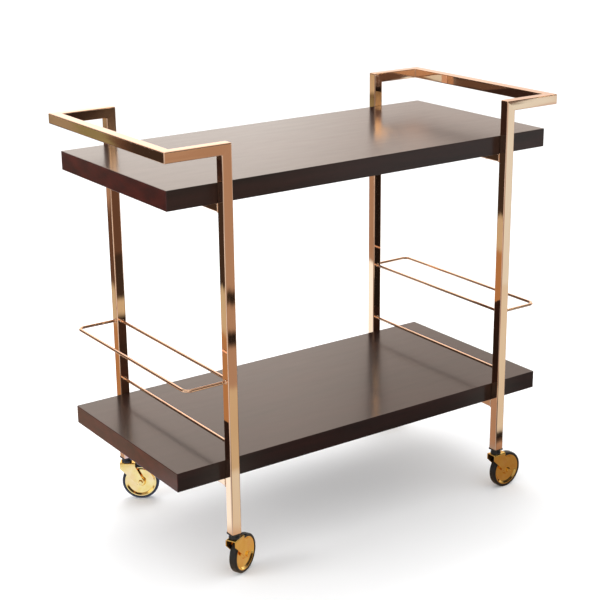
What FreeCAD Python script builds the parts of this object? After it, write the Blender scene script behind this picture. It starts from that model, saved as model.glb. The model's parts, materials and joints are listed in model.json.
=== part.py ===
import FreeCAD, Part
import math
import os

import Sketcher

# Two-tier service trolley on four swivel casters.
# Millimetres, +Z up. The origin is on the floor under the middle of the shelves,
# X runs along the shelves towards one push handle, and -Y is the front long side.

DIMENSIONS = {
    # shelves
    "shelf_length": 860, "shelf_depth": 395, "shelf_thickness": 36, "shelf_edge": 0.8,
    "upper_shelf_top": 749, "lower_shelf_top": 235,
    # square tube frame
    "tube_size": 20, "tube_wall": 1.5, "tube_corner": 2, "leg_offset": 321, "leg_bottom": 92,
    "handle_top": 819, "handle_reach": 442, "cross_tube_height": 16,
    # round wire guards
    "wire_radius": 3, "guard_reach": 412, "guard_height": 390, "guard_corner": 12,
    "lower_rail_height": 267,
    # shelf screws
    "screw_offset": 155, "screw_radius": 2, "screw_depth": 20, "screw_fit": 0.05,
    "screw_head_radius": 4.5, "screw_head_height": 2.4, "screw_head_round": 1.2,
    "recess_length": 4.6, "recess_width": 0.9, "recess_depth": 1.2,
    # leg insert
    "flange_size": 22, "flange_height": 2.5, "flange_corner": 2.5, "plug_size": 16.8, "plug_depth": 30,
    # kingpin stem
    "stem_radius": 5, "stem_depth": 26, "neck_radius": 4, "stem_head_radius": 6, "stem_head_height": 2,
    # ball race
    "race_radius": 10.6, "race_top_radius": 8.4, "race_skirt": 1, "race_shoulder": 3.2,
    "ball_radius": 2, "ball_circle_radius": 7,
    # fork
    "fork_top": 81, "fork_sheet": 2, "fork_width": 22, "fork_bend": 2.6, "fork_front": 13.5,
    "fork_rear": 18, "fork_front_drop": 13, "fork_rear_drop": 8, "fork_end_radius": 7.5,
    "fork_gap": 0.3, "swivel_fit": 0.06, "trail": 27.5, "axle_height": 38,
    # axle
    "axle_radius": 3, "axle_fit": 0.08, "sleeve_radius": 4.5, "sleeve_fit": 0.06,
    "hex_across": 9, "bolt_head_height": 3.4, "nut_height": 4.2, "bolt_end": 1,
    # wheel
    "wheel_radius": 38, "tyre_thickness": 5.6, "tyre_width": 15, "tyre_shoulder": 3.4,
    "hub_width": 17.2, "hub_radius": 8, "hub_foot_radius": 11, "web_width": 7, "dish_radius": 26.5,
    "lip_width": 13.4, "lip_thickness": 1.8, "lip_fillet": 0.7,
    # swivel angles of the casters, turned from +X towards +Y
    "swivel_front_left": 27, "swivel_front_right": 3, "swivel_rear_left": -36, "swivel_rear_right": -18,
}
BALL_COUNT = 9
MARGIN = 1.0  # how far a cutting outline passes the solid it trims

X_SIDES = {"left": -1, "right": 1}
Y_SIDES = {"front": -1, "rear": 1}

doc = FreeCAD.newDocument("ServiceTrolley")
sheet = doc.addObject("Spreadsheet::Sheet", "Dimensions")
for row, (alias, size) in enumerate(DIMENSIONS.items(), 1):
    sheet.set(f"A{row}", alias)
    sheet.set(f"B{row}", str(size))
    sheet.setAlias(f"B{row}", alias)
doc.recompute()

sub_parts = []


# ---------------------------------------------------------------- shared steps

def bound(expression):
    """The expression with every dimension's alias written as a cell of the sheet."""
    words = sorted(DIMENSIONS, key=len, reverse=True)
    pieces, rest = [], str(expression)
    while rest:
        alias = next((word for word in words if rest.startswith(word)), None)
        pieces.append(f"Dimensions.{alias}" if alias else rest[0])
        rest = rest[len(alias):] if alias else rest[1:]
    return "".join(pieces)


def size(expression):
    """The expression's value in millimetres or degrees."""
    return float(doc.getObject("Dimensions").evalExpression(str(expression)))


def bind(item, **expressions):
    """Bind properties of a feature to the sheet."""
    for name, expression in expressions.items():
        item.setExpression(name, bound(expression))


def new_body(label, placement=None):
    """An empty body that becomes one sub-part."""
    body = doc.addObject("PartDesign::Body", label)
    body.Label = label
    body.Placement = placement or FreeCAD.Placement()
    sub_parts.append(body)
    return body


def sketch_on(body, plane_role, offset=None):
    """A sketch on one of the body's own origin planes, moved along its normal by offset."""
    sketch = body.newObject("Sketcher::SketchObject", f"{body.Name}_sketch")
    plane = next(item for item in body.Origin.OriginFeatures if item.Role == plane_role)
    sketch.AttachmentSupport = [(plane, "")]
    sketch.MapMode = "FlatFace"
    if offset:
        sketch.setExpression("AttachmentOffset.Base.z", bound(offset))
    return sketch


def locate(sketch, curve, point, position):
    """Hold one point of a sketch curve at a position bound to the sheet."""
    for kind, expression in zip(("DistanceX", "DistanceY"), position):
        index = sketch.addConstraint(Sketcher.Constraint(kind, -1, 1, curve, point, size(expression)))
        sketch.setExpression(f"Constraints[{index}]", bound(expression))


def set_radius(sketch, curve, expression):
    """Bind the radius of an arc or circle."""
    index = sketch.addConstraint(Sketcher.Constraint("Radius", curve, size(expression)))
    sketch.setExpression(f"Constraints[{index}]", bound(expression))


def vector(position):
    return FreeCAD.Vector(size(position[0]), size(position[1]), 0)


def add_polygon(sketch, corners):
    """A closed outline through the given corners."""
    points = [vector(corner) for corner in corners]
    first = sketch.GeometryCount
    count = len(points)
    for index, point in enumerate(points):
        sketch.addGeometry(Part.LineSegment(point, points[(index + 1) % count]), False)
    for index, corner in enumerate(corners):
        following = first + (index + 1) % count
        sketch.addConstraint(Sketcher.Constraint("Coincident", first + index, 2, following, 1))
        locate(sketch, first + index, 1, corner)


def add_rectangle(sketch, width, height):
    """A rectangle centred on the sketch's origin."""
    x, y = f"({width}) / 2", f"({height}) / 2"
    add_polygon(sketch, [(f"-{x}", f"-{y}"), (x, f"-{y}"), (x, y), (f"-{x}", y)])


def add_circle(sketch, centre, radius):
    circle = Part.Circle(vector(centre), FreeCAD.Vector(0, 0, 1), size(radius))
    curve = sketch.addGeometry(circle, False)
    locate(sketch, curve, 3, centre)
    set_radius(sketch, curve, radius)


def pad(body, sketch, length, symmetric=False, backwards=False):
    feature = body.newObject("PartDesign::Pad", f"{body.Name}_pad")
    feature.Profile = sketch
    feature.SideType = "Symmetric" if symmetric else "One side"
    feature.Reversed = backwards
    bind(feature, Length=length)
    doc.recompute()
    return feature


def pocket(body, sketch, depth=None, backwards=False):
    """Cut the sketch through the whole body both ways, or to a depth on one side."""
    before = body.Shape.Volume
    feature = body.newObject("PartDesign::Pocket", f"{body.Name}_pocket")
    feature.Profile = sketch
    feature.Reversed = backwards
    if depth:
        feature.SideType = "One side"
        bind(feature, Length=depth)
    else:
        feature.Type = "ThroughAll"
        feature.SideType = "Symmetric"
    doc.recompute()
    if body.Shape.Volume >= before:
        raise RuntimeError(f"a pocket of {body.Label} cuts nothing")
    return feature


def revolve(body, sketch, axis):
    feature = body.newObject("PartDesign::Revolution", f"{body.Name}_revolution")
    feature.Profile = sketch
    feature.ReferenceAxis = (sketch, [axis])
    feature.Angle = 360
    doc.recompute()
    return feature


def round_edges(body, radius, chosen):
    """Fillet the edges of the body's last feature that the test picks."""
    last = body.Tip
    names = [f"Edge{number}" for number, edge in enumerate(last.Shape.Edges, 1) if chosen(edge)]
    if not names:
        raise RuntimeError(f"{body.Label} has no edge to round")
    feature = body.newObject("PartDesign::Fillet", f"{body.Name}_fillet")
    feature.Base = (last, names)
    bind(feature, Radius=radius)
    doc.recompute()
    return feature


def straight_along(edge, direction):
    """True for a straight edge parallel to the direction."""
    if not isinstance(edge.Curve, Part.Line):
        return False
    return abs(edge.tangentAt(edge.FirstParameter).dot(direction)) > 0.999


def ring_of(edge, radius):
    """True for a circular edge of the given radius."""
    return isinstance(edge.Curve, Part.Circle) and abs(edge.Curve.Radius - radius) < 1e-3


def placed(x=0.0, y=0.0, z=0.0, turn=0.0):
    """A position, turned about the vertical by an angle in degrees."""
    return FreeCAD.Placement(FreeCAD.Vector(x, y, z), FreeCAD.Rotation(FreeCAD.Vector(0, 0, 1), turn))


# ---------------------------------------------------------------- tube frame

def mitre(tube, end, plane_role, long_side):
    """Trim one end of a tube at 45 degrees; long_side is the sign of the side that keeps its length."""
    near = f"({long_side} * (tube_size / 2 + {MARGIN}))"
    far = f"(-{near})"
    tip, inwards = ("0", 1) if end == "start" else (tube.full_length, -1)
    beyond = f"{tip} - {inwards * MARGIN}"
    sketch = sketch_on(tube.body, plane_role)
    add_polygon(sketch, [(near, beyond), (far, f"{tip} + {inwards} * (tube_size + {MARGIN})"), (far, beyond)])
    pocket(tube.body, sketch)


class Tube:
    """A square tube that runs along its own +Z from the origin."""

    def __init__(self, label, full_length, placement, height="tube_size"):
        self.full_length = full_length
        self.body = new_body(label, placement)
        section = sketch_on(self.body, "XY_Plane")
        add_rectangle(section, "tube_size", height)
        add_rectangle(section, "tube_size - 2 * tube_wall", f"{height} - 2 * tube_wall")
        pad(self.body, section, full_length)
        outer = size("tube_size / 2") - 1e-3
        along = FreeCAD.Vector(0, 0, 1)
        round_edges(self.body, "tube_corner", lambda edge: (
            straight_along(edge, along) and abs(edge.CenterOfMass.x) > outer
            and abs(edge.CenterOfMass.y) > size(f"{height} / 2") - 1e-3))


def make_leg(x_name, y_name):
    """A vertical tube outside the shelves' long side, mitred at the top towards the handle."""
    x_side, y_side = X_SIDES[x_name], Y_SIDES[y_name]
    turn = 0 if x_side > 0 else 180
    place = placed(x_side * size("leg_offset"), y_side * size("(shelf_depth + tube_size) / 2"),
                   size("leg_bottom"), turn)
    tube = Tube(f"leg_{y_name}_{x_name}", "(handle_top - leg_bottom)", place)
    mitre(tube, "finish", "XZ_Plane", -1)


def make_handle_arm(x_name, y_name):
    """A tube from the top of a leg outwards, mitred down to the leg and across to the bar."""
    x_side, y_side = X_SIDES[x_name], Y_SIDES[y_name]
    along, up = FreeCAD.Vector(x_side, 0, 0), FreeCAD.Vector(0, 0, 1)
    turn = FreeCAD.Rotation(up, along.cross(up), along, "ZXY")
    base = FreeCAD.Vector(x_side * size("leg_offset - tube_size / 2"),
                          y_side * size("(shelf_depth + tube_size) / 2"),
                          size("handle_top - tube_size / 2"))
    tube = Tube(f"handle_arm_{y_name}_{x_name}", "(handle_reach - leg_offset + tube_size / 2)",
                FreeCAD.Placement(base, turn))
    mitre(tube, "start", "XZ_Plane", 1)
    mitre(tube, "finish", "YZ_Plane", -x_side * y_side)


def make_handle_bar(x_name):
    """The push bar across the end of the trolley, mitred into both arms."""
    x_side = X_SIDES[x_name]
    along, outwards = FreeCAD.Vector(0, 1, 0), FreeCAD.Vector(x_side, 0, 0)
    turn = FreeCAD.Rotation(outwards, along.cross(outwards), along, "ZXY")
    base = FreeCAD.Vector(x_side * size("handle_reach - tube_size / 2"),
                          -size("shelf_depth / 2 + tube_size"), size("handle_top - tube_size / 2"))
    tube = Tube(f"handle_bar_{x_name}", "(shelf_depth + 2 * tube_size)", FreeCAD.Placement(base, turn))
    mitre(tube, "start", "XZ_Plane", 1)
    mitre(tube, "finish", "XZ_Plane", 1)


def make_cross_tube(level, x_name):
    """A tube under a shelf between the front and rear leg, with two screw holes."""
    x_side = X_SIDES[x_name]
    along, across = FreeCAD.Vector(0, 1, 0), FreeCAD.Vector(1, 0, 0)
    turn = FreeCAD.Rotation(across, along.cross(across), along, "ZXY")
    base = FreeCAD.Vector(x_side * size("leg_offset"), -size("shelf_depth / 2"),
                          size(f"{level}_shelf_top - shelf_thickness - cross_tube_height / 2"))
    tube = Tube(f"cross_tube_{level}_{x_name}", "shelf_depth", FreeCAD.Placement(base, turn),
                "cross_tube_height")
    holes = sketch_on(tube.body, "XZ_Plane")
    for y_side in Y_SIDES.values():
        add_circle(holes, ("0", f"shelf_depth / 2 + {y_side} * screw_offset"),
                   "screw_radius + screw_fit")
    pocket(tube.body, holes)


# ---------------------------------------------------------------- shelves and their screws

def make_shelf(level):
    """A thick board with slightly rounded edges and blind screw holes in its underside."""
    body = new_body(f"{level}_shelf", placed(z=size(f"{level}_shelf_top - shelf_thickness")))
    outline = sketch_on(body, "XY_Plane")
    add_rectangle(outline, "shelf_length", "shelf_depth")
    pad(body, outline, "shelf_thickness")
    round_edges(body, "shelf_edge", lambda edge: True)
    holes = sketch_on(body, "XY_Plane")
    for x_side in X_SIDES.values():
        for y_side in Y_SIDES.values():
            add_circle(holes, (f"{x_side} * leg_offset", f"{y_side} * screw_offset"),
                       "screw_radius + screw_fit")
    pocket(body, holes, "screw_depth", backwards=True)


def screw_shape():
    """A pan-head screw that points up, with a cross recess under its head."""
    up = FreeCAD.Vector(0, 0, 1)
    head_height = size("screw_head_height")
    head = Part.makeCylinder(size("screw_head_radius"), head_height, FreeCAD.Vector(0, 0, -head_height))
    lower = [edge for edge in head.Edges
             if ring_of(edge, size("screw_head_radius")) and edge.CenterOfMass.z < -head_height / 2]
    head = head.makeFillet(size("screw_head_round"), lower)
    shank_length = size("cross_tube_height + screw_depth - 2 * screw_fit")
    shank = Part.makeCylinder(size("screw_radius"), shank_length, FreeCAD.Vector(0, 0, 0), up)
    screw = head.fuse(shank)
    length, width = size("recess_length"), size("recess_width")
    for slot_x, slot_y in ((length, width), (width, length)):
        corner = FreeCAD.Vector(-slot_x / 2, -slot_y / 2, -head_height - MARGIN)
        screw = screw.cut(Part.makeBox(slot_x, slot_y, MARGIN + size("recess_depth"), corner))
    return screw.removeSplitter()


def make_group(label, shapes):
    """Identical loose pieces kept together as one sub-part of separate solids."""
    group = doc.addObject("Part::Feature", label)
    group.Label = label
    group.Shape = Part.makeCompound(shapes)
    sub_parts.append(group)
    return group


def make_shelf_screws(level):
    """The four screws up through the cross tubes into one shelf."""
    height = size(f"{level}_shelf_top - shelf_thickness - cross_tube_height")
    screws = []
    for x_side in X_SIDES.values():
        for y_side in Y_SIDES.values():
            place = FreeCAD.Vector(x_side * size("leg_offset"), y_side * size("screw_offset"), height)
            screws.append(screw_shape().translated(place))
    make_group(f"{level}_shelf_screws", screws)


# ---------------------------------------------------------------- wire guards

def make_guard_loop(x_name):
    """A U of round wire from leg to leg around the end of the lower shelf."""
    leg_face = "(leg_offset + tube_size / 2)"
    reach = f"(guard_reach - {leg_face})"
    half = "((shelf_depth + tube_size) / 2)"
    body = new_body(f"guard_loop_{x_name}",
                    placed(X_SIDES[x_name] * size(leg_face), 0, size("guard_height"),
                           0 if x_name == "right" else 180))
    path = sketch_on(body, "XY_Plane")
    bend, far, edge_y = size("guard_corner"), size(reach), size(half)
    corners = [FreeCAD.Vector(0, -edge_y, 0), FreeCAD.Vector(far - bend, -edge_y, 0),
               FreeCAD.Vector(far, -edge_y + bend, 0), FreeCAD.Vector(far, edge_y - bend, 0),
               FreeCAD.Vector(far - bend, edge_y, 0), FreeCAD.Vector(0, edge_y, 0)]
    for start in (0, 2, 4):
        path.addGeometry(Part.LineSegment(corners[start], corners[start + 1]), False)
    up = FreeCAD.Vector(0, 0, 1)
    for centre_y, first, last in ((-edge_y + bend, -math.pi / 2, 0), (edge_y - bend, 0, math.pi / 2)):
        circle = Part.Circle(FreeCAD.Vector(far - bend, centre_y, 0), up, bend)
        path.addGeometry(Part.ArcOfCircle(circle, first, last), False)
    for line, line_end, arc, arc_end in ((0, 2, 3, 1), (1, 1, 3, 2), (1, 2, 4, 1), (2, 1, 4, 2)):
        path.addConstraint(Sketcher.Constraint("Tangent", line, line_end, arc, arc_end))
    locate(path, 0, 1, ("0", f"-{half}"))
    locate(path, 2, 2, ("0", half))
    locate(path, 3, 3, (f"{reach} - guard_corner", f"-{half} + guard_corner"))
    locate(path, 4, 3, (f"{reach} - guard_corner", f"{half} - guard_corner"))
    wire = sketch_on(body, "YZ_Plane")
    add_circle(wire, (f"-{half}", "0"), "wire_radius")
    doc.recompute()
    pipe = body.newObject("PartDesign::AdditivePipe", f"{body.Name}_pipe")
    pipe.Profile = wire
    pipe.Spine = (path, [f"Edge{number}" for number in range(1, path.GeometryCount + 1)])
    doc.recompute()


def make_guard_rail(level, height, x_name):
    """A straight wire between the inner faces of the front and rear leg."""
    rail = doc.addObject("Part::Cylinder", f"guard_rail_{level}_{x_name}")
    rail.Label = rail.Name
    bind(rail, Radius="wire_radius", Height="shelf_depth")
    rail.Placement = FreeCAD.Placement(
        FreeCAD.Vector(X_SIDES[x_name] * size("leg_offset"), size("shelf_depth / 2"), size(height)),
        FreeCAD.Rotation(FreeCAD.Vector(1, 0, 0), 90))
    sub_parts.append(rail)


# ---------------------------------------------------------------- casters

def make_leg_insert(name, place):
    """The plastic plug in the end of a leg, with a flange under the tube."""
    body = new_body(f"leg_insert_{name}", place)
    flange = sketch_on(body, "XY_Plane", "leg_bottom")
    add_rectangle(flange, "flange_size", "flange_size")
    pad(body, flange, "flange_height", backwards=True)
    round_edges(body, "flange_corner", lambda edge: straight_along(edge, FreeCAD.Vector(0, 0, 1)))
    plug = sketch_on(body, "XY_Plane", "leg_bottom")
    add_rectangle(plug, "plug_size", "plug_size")
    pad(body, plug, "plug_depth")
    bore = sketch_on(body, "XY_Plane", "leg_bottom")
    add_circle(bore, ("0", "0"), "stem_radius")
    pocket(body, bore)


def make_stem(name, place):
    """The kingpin: a shaft in the insert, a neck through the race and fork, and a head under the fork."""
    body = new_body(f"caster_stem_{name}", place)
    profile = sketch_on(body, "XZ_Plane")
    head_top = "(fork_top - fork_sheet - fork_gap)"
    shoulder = "(leg_bottom - flange_height)"
    top = "(leg_bottom + stem_depth)"
    add_polygon(profile, [
        ("0", f"{head_top} - stem_head_height"), ("stem_head_radius", f"{head_top} - stem_head_height"),
        ("stem_head_radius", head_top), ("neck_radius", head_top), ("neck_radius", shoulder),
        ("stem_radius", shoulder), ("stem_radius", f"{top} - {MARGIN}"),
        (f"stem_radius - {MARGIN}", top), ("0", top)])
    revolve(body, profile, "V_Axis")


def make_race(name, place):
    """The cup above the fork that covers the bearing balls."""
    body = new_body(f"caster_race_{name}", place)
    profile = sketch_on(body, "XZ_Plane")
    rim = "(fork_top + fork_gap)"
    roof = f"({rim} + 2 * ball_radius)"
    top = "(leg_bottom - flange_height)"
    add_polygon(profile, [
        ("neck_radius", roof), ("race_radius - race_skirt", roof), ("race_radius - race_skirt", rim),
        ("race_radius", rim), ("race_radius", f"{rim} + race_shoulder"), ("race_top_radius", top),
        ("neck_radius", top)])
    revolve(body, profile, "V_Axis")


def make_balls(name, place):
    """The ring of bearing balls inside the race."""
    height = size("fork_top + fork_gap + ball_radius")
    balls = []
    for number in range(BALL_COUNT):
        angle = 2 * math.pi * number / BALL_COUNT
        centre = FreeCAD.Vector(math.cos(angle), math.sin(angle), 0) * size("ball_circle_radius")
        ball = Part.makeSphere(size("ball_radius"))
        balls.append(ball.translated(centre + FreeCAD.Vector(0, 0, height)))
    group = make_group(f"caster_balls_{name}", balls)
    group.Placement = place


def make_fork(name, place):
    """A bent sheet fork: a flat top with the kingpin hole, and two cheeks that reach back to the axle."""
    body = new_body(f"caster_fork_{name}", place)
    cheek = sketch_on(body, "XZ_Plane")
    axle = FreeCAD.Vector(size("trail"), size("axle_height"), 0)
    front_low = ("-fork_front", "fork_top - fork_front_drop")
    rear_low = ("fork_rear", "fork_top - fork_rear_drop")
    touches = [tangent_point(vector(front_low), axle, size("fork_end_radius"), 1),
               tangent_point(vector(rear_low), axle, size("fork_end_radius"), -1)]
    outline = [vector(rear_low), vector(("fork_rear", "fork_top")), vector(("-fork_front", "fork_top")),
               vector(front_low)]
    route = [touches[1]] + outline + [touches[0]]
    for start, end in zip(route, route[1:]):
        cheek.addGeometry(Part.LineSegment(start, end), False)
    for index in range(len(route) - 2):
        cheek.addConstraint(Sketcher.Constraint("Coincident", index, 2, index + 1, 1))
    angles = [math.atan2(*reversed((touch - axle)[:2])) for touch in touches]
    if angles[1] < angles[0]:
        angles[1] += 2 * math.pi
    circle = Part.Circle(axle, FreeCAD.Vector(0, 0, 1), size("fork_end_radius"))
    arc = cheek.addGeometry(Part.ArcOfCircle(circle, *angles), False)
    last_line = arc - 1
    cheek.addConstraint(Sketcher.Constraint("Tangent", last_line, 2, arc, 1))
    cheek.addConstraint(Sketcher.Constraint("Tangent", 0, 1, arc, 2))
    locate(cheek, arc, 3, ("trail", "axle_height"))
    set_radius(cheek, arc, "fork_end_radius")
    for line, corner in enumerate((rear_low, ("fork_rear", "fork_top"), ("-fork_front", "fork_top"),
                                   front_low)):
        locate(cheek, line, 2, corner)
    pad(body, cheek, "fork_width", symmetric=True)
    channel = sketch_on(body, "YZ_Plane")
    inner, under = "(fork_width / 2 - fork_sheet)", "fork_top - fork_sheet"
    add_polygon(channel, [(f"-{inner}", f"-{MARGIN}"), (inner, f"-{MARGIN}"), (inner, under),
                          (f"-{inner}", under)])
    pocket(body, channel)
    kingpin_hole = sketch_on(body, "XY_Plane")
    add_circle(kingpin_hole, ("0", "0"), "neck_radius + swivel_fit")
    pocket(body, kingpin_hole)
    axle_holes = sketch_on(body, "XZ_Plane")
    add_circle(axle_holes, ("trail", "axle_height"), "axle_radius + axle_fit")
    pocket(body, axle_holes)
    side = size("fork_width / 2") - 1e-3
    top = size("fork_top") - 1e-3
    round_edges(body, "fork_bend", lambda edge: (
        straight_along(edge, FreeCAD.Vector(1, 0, 0)) and abs(edge.CenterOfMass.y) > side
        and edge.CenterOfMass.z > top))


def tangent_point(outside, centre, radius, turn):
    """Where a line from an outside point touches a circle; turn picks one of the two sides."""
    to_point = outside - centre
    swing = math.acos(radius / to_point.Length) * turn
    direction = math.atan2(to_point.y, to_point.x) + swing
    return centre + FreeCAD.Vector(math.cos(direction), math.sin(direction), 0) * radius


def hexagon_head(label, height):
    """A hexagonal prism with its outer corners bevelled, standing on its own XY plane."""
    prism = doc.addObject("Part::Prism", f"{label}_prism")
    prism.Polygon = 6
    bind(prism, Circumradius="hex_across / sqrt(3)", Height=height)
    bevel = doc.addObject("Part::Cone", f"{label}_bevel")
    bind(bevel, Radius1=f"hex_across / 2 + {height} * sqrt(3)", Radius2="hex_across / 2", Height=height)
    head = doc.addObject("Part::MultiCommon", label)
    head.Shapes = [prism, bevel]
    return head


def make_axle_bolt(name, place):
    """The wheel bolt and its nut, across the fork along Y."""
    outer = size("fork_width / 2")
    label = f"axle_bolt_{name}"
    toward_front = FreeCAD.Rotation(FreeCAD.Vector(1, 0, 0), 90)
    toward_rear = FreeCAD.Rotation(FreeCAD.Vector(1, 0, 0), -90)
    head = hexagon_head(f"{label}_head", "bolt_head_height")
    head.Placement = FreeCAD.Placement(FreeCAD.Vector(0, -outer, 0), toward_front)
    shank = doc.addObject("Part::Cylinder", f"{label}_shank")
    bind(shank, Radius="axle_radius", Height="fork_width + nut_height + bolt_end")
    shank.Placement = FreeCAD.Placement(FreeCAD.Vector(0, -outer, 0), toward_rear)
    bolt = doc.addObject("Part::MultiFuse", f"{label}_bolt")
    bolt.Shapes = [head, shank]
    blank = hexagon_head(f"{label}_blank", "nut_height")
    thread = doc.addObject("Part::Cylinder", f"{label}_thread")
    bind(thread, Radius="axle_radius + axle_fit / 2", Height="nut_height")
    nut = doc.addObject("Part::Cut", f"{label}_nut")
    nut.Base = blank
    nut.Tool = thread
    nut.Placement = FreeCAD.Placement(FreeCAD.Vector(0, outer, 0), toward_rear)
    group = doc.addObject("Part::Compound", label)
    group.Label = label
    group.Links = [bolt, nut]
    group.Placement = place
    sub_parts.append(group)


def make_axle_sleeve(name, place):
    """The sleeve clamped between the cheeks, which the wheel turns on."""
    body = new_body(f"axle_sleeve_{name}", place)
    section = sketch_on(body, "XZ_Plane")
    add_circle(section, ("0", "0"), "sleeve_radius")
    add_circle(section, ("0", "0"), "axle_radius + axle_fit / 2")
    pad(body, section, "fork_width - 2 * fork_sheet", symmetric=True)


def make_wheel(name, place):
    """The dished wheel with a hub boss and a raised lip inside the tyre."""
    body = new_body(f"wheel_{name}", place)
    profile = sketch_on(body, "YZ_Plane")
    rim = "(wheel_radius - tyre_thickness)"
    right_side = [("hub_width / 2", "sleeve_radius + sleeve_fit"), ("hub_width / 2", "hub_radius"),
                  ("web_width / 2", "hub_foot_radius"), ("web_width / 2", "dish_radius"),
                  ("lip_width / 2", f"{rim} - lip_thickness"), ("lip_width / 2", rim)]
    left_side = [(f"-{axial}", radial) for axial, radial in reversed(right_side)]
    add_polygon(profile, right_side + left_side)
    revolve(body, profile, "H_Axis")
    soft_rings = [size("hub_radius"), size(f"{rim} - lip_thickness")]
    round_edges(body, "lip_fillet", lambda edge: any(ring_of(edge, ring) for ring in soft_rings))


def make_tyre(name, place):
    """The thin tyre with rounded shoulders."""
    body = new_body(f"tyre_{name}", place)
    profile = sketch_on(body, "YZ_Plane")
    inner = "(wheel_radius - tyre_thickness)"
    add_polygon(profile, [("-tyre_width / 2", inner), ("tyre_width / 2", inner),
                          ("tyre_width / 2", "wheel_radius"), ("-tyre_width / 2", "wheel_radius")])
    revolve(body, profile, "H_Axis")
    round_edges(body, "tyre_shoulder", lambda edge: ring_of(edge, size("wheel_radius")))


def make_caster(x_name, y_name):
    """One swivel caster under a leg, at its own swivel angle."""
    name = f"{y_name}_{x_name}"
    leg_x = X_SIDES[x_name] * size("leg_offset")
    leg_y = Y_SIDES[y_name] * size("(shelf_depth + tube_size) / 2")
    swivel = size(f"swivel_{name}")
    fixed, swivelled = placed(leg_x, leg_y), placed(leg_x, leg_y, 0, swivel)
    trailing = swivelled.multiply(placed(size("trail"), 0, size("axle_height")))
    make_leg_insert(name, fixed)
    make_stem(name, fixed)
    make_race(name, fixed)
    make_balls(name, fixed)
    make_fork(name, swivelled)
    make_axle_bolt(name, trailing)
    make_axle_sleeve(name, trailing)
    make_wheel(name, trailing)
    make_tyre(name, trailing)


# ---------------------------------------------------------------- the whole trolley

for x_side_name in X_SIDES:
    for y_side_name in Y_SIDES:
        make_leg(x_side_name, y_side_name)
        make_handle_arm(x_side_name, y_side_name)
        make_caster(x_side_name, y_side_name)
    make_handle_bar(x_side_name)
    make_guard_loop(x_side_name)
    make_guard_rail("upper", "guard_height", x_side_name)
    make_guard_rail("lower", "lower_rail_height", x_side_name)
    for shelf_level in ("upper", "lower"):
        make_cross_tube(shelf_level, x_side_name)
for shelf_level in ("upper", "lower"):
    make_shelf(shelf_level)
    make_shelf_screws(shelf_level)

doc.recompute()
for item in doc.Objects:
    if "Invalid" in item.State or "Error" in item.State:
        raise RuntimeError(f"{item.Label} failed: {item.State}")
for item in sub_parts:
    if item.Shape.isNull() or not item.Shape.isValid() or not item.Shape.Solids:
        raise RuntimeError(f"{item.Label} has no sound shape")

os.makedirs("parts", exist_ok=True)
for item in sub_parts:
    item.Shape.exportStep(f"parts/{item.Label}.step")
print(len(sub_parts), "sub-parts written")
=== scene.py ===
import json
from math import acos, asin, atan2, cos, degrees, hypot, pi, radians, sin, sqrt, tan

import bmesh
import bpy
from mathutils import Matrix, Vector, noise


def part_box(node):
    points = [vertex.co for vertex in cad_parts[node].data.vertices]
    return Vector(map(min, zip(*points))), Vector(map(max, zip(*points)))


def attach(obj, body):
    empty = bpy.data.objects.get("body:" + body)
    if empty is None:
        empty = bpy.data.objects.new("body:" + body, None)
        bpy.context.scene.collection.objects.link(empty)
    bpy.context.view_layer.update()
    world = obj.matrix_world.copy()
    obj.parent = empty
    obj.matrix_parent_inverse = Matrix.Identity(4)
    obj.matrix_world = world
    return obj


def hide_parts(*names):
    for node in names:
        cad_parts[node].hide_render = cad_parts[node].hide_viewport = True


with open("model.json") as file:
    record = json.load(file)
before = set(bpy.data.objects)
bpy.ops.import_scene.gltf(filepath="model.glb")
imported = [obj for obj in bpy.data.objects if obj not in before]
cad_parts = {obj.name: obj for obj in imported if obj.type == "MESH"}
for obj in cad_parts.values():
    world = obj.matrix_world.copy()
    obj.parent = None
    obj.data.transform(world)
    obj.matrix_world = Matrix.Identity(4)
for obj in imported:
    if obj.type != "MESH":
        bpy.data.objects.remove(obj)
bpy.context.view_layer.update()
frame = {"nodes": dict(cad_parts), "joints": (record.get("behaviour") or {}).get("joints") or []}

# Food service trolley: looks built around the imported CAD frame. Metres, +Z up.

MM = 0.001
MICRON = 0.000001
UP = Vector((0, 0, 1))
ENDS = {"left": -1, "right": 1}
SIDES = {"front": -1, "rear": 1}
CORNERS = [f"{side}_{end}" for side in SIDES for end in ENDS]
JOINTS = {joint["name"]: joint for joint in frame["joints"]}


# -------- materials

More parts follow.
